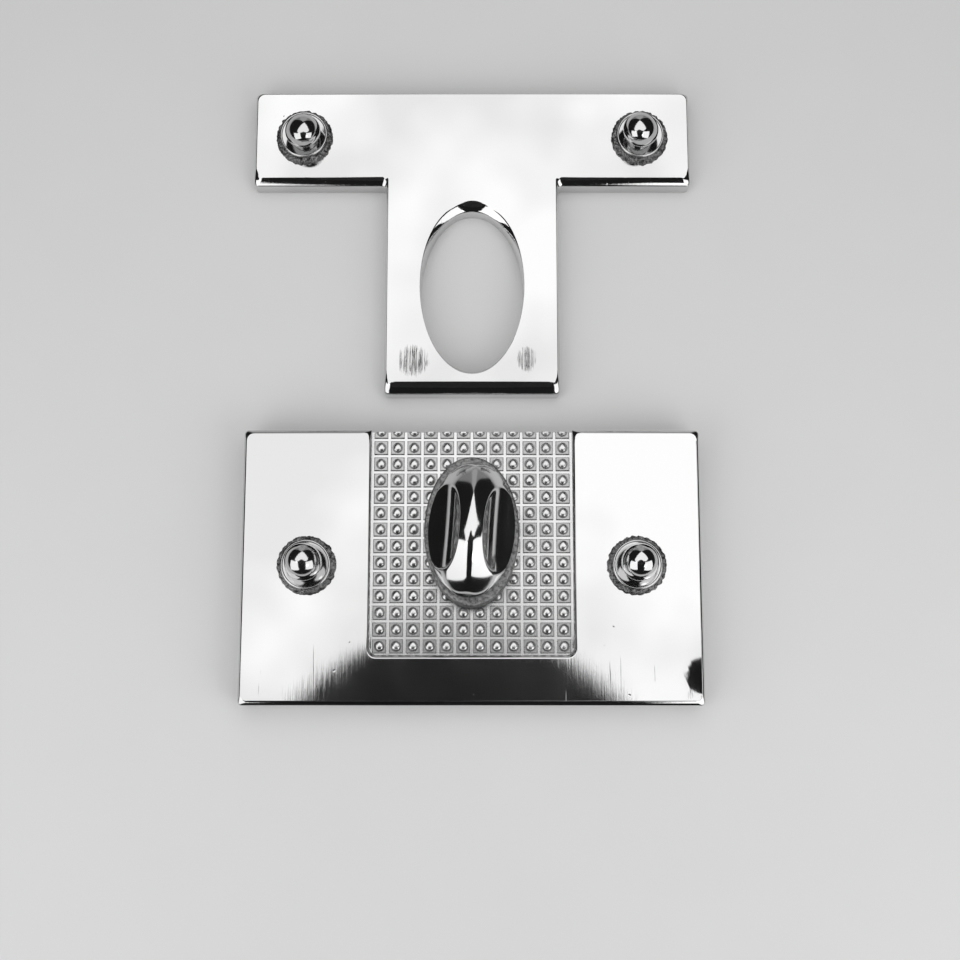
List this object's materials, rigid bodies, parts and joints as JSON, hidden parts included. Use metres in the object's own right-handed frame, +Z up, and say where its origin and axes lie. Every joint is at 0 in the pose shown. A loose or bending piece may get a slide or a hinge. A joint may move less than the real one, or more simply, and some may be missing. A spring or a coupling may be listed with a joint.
{
  "type": "bag turn lock",
  "caption": "Two-part bag turn lock: base plate with patterned recess and oval turn knob, and T-shaped keeper plate with an oval window.",
  "frame": {"origin": "on the surface under the middle of the pair, as the two halves lie apart, face up", "axes": "+X across the lock to the right, +Y from the base plate towards the keeper plate, +Z up out of the faces"},
  "size_m": [0.05, 0.0702, 0.0102],
  "materials": {
    "polished_plate": "mirror-polished bright nickel-chrome plate",
    "polished_knob": "mirror-polished bright plate on a cast knob",
    "polished_stud": "turned and bright plated",
    "embossed_sheet": "embossed sheet, bright plated",
    "cast_collar": "plated as cast, finely pitted satin",
    "rough_bush": "serrated and plated as cast, rough",
    "spring_steel": "tempered strip, satin",
    "plated_steel": "zinc-plated steel, satin"
  },
  "bodies": {
    "base": {"base_plate": "polished_plate", "pattern_inlay": "embossed_sheet", "knob_collar": "cast_collar", "thrust_washer": "spring_steel", "detent_spring_left": "spring_steel", "detent_spring_right": "spring_steel", "mechanism_cover": "plated_steel", "cover_screws": "plated_steel", "base_bush_left": "rough_bush", "base_cup_washer_left": "polished_stud", "base_ball_stud_left": "polished_stud", "base_bush_right": "rough_bush", "base_cup_washer_right": "polished_stud", "base_ball_stud_right": "polished_stud"},
    "knob": {"turn_knob": "polished_knob", "knob_spindle": "plated_steel", "detent_cam": "plated_steel", "cam_screw": "plated_steel"},
    "keeper": {"keeper_plate": "polished_plate", "keeper_bush_left": "rough_bush", "keeper_cup_washer_left": "polished_stud", "keeper_ball_stud_left": "polished_stud", "keeper_bush_right": "rough_bush", "keeper_cup_washer_right": "polished_stud", "keeper_ball_stud_right": "polished_stud"}
  },
  "joints": [
    {"name": "knob_turn", "type": "hinge", "parent": "base", "child": "knob", "pos_m": [0, -0.01645, 0.0055], "axis": [0, 0, 1], "range_deg": [0, 90], "deforming": ["detent_spring_left", "detent_spring_right"]},
    {"name": "keeper_carry", "type": "slide", "parent": "base", "child": "keeper", "axis": [0, -0.6744, 0.7384], "range_m": [0, 0.04063]}
  ]
}
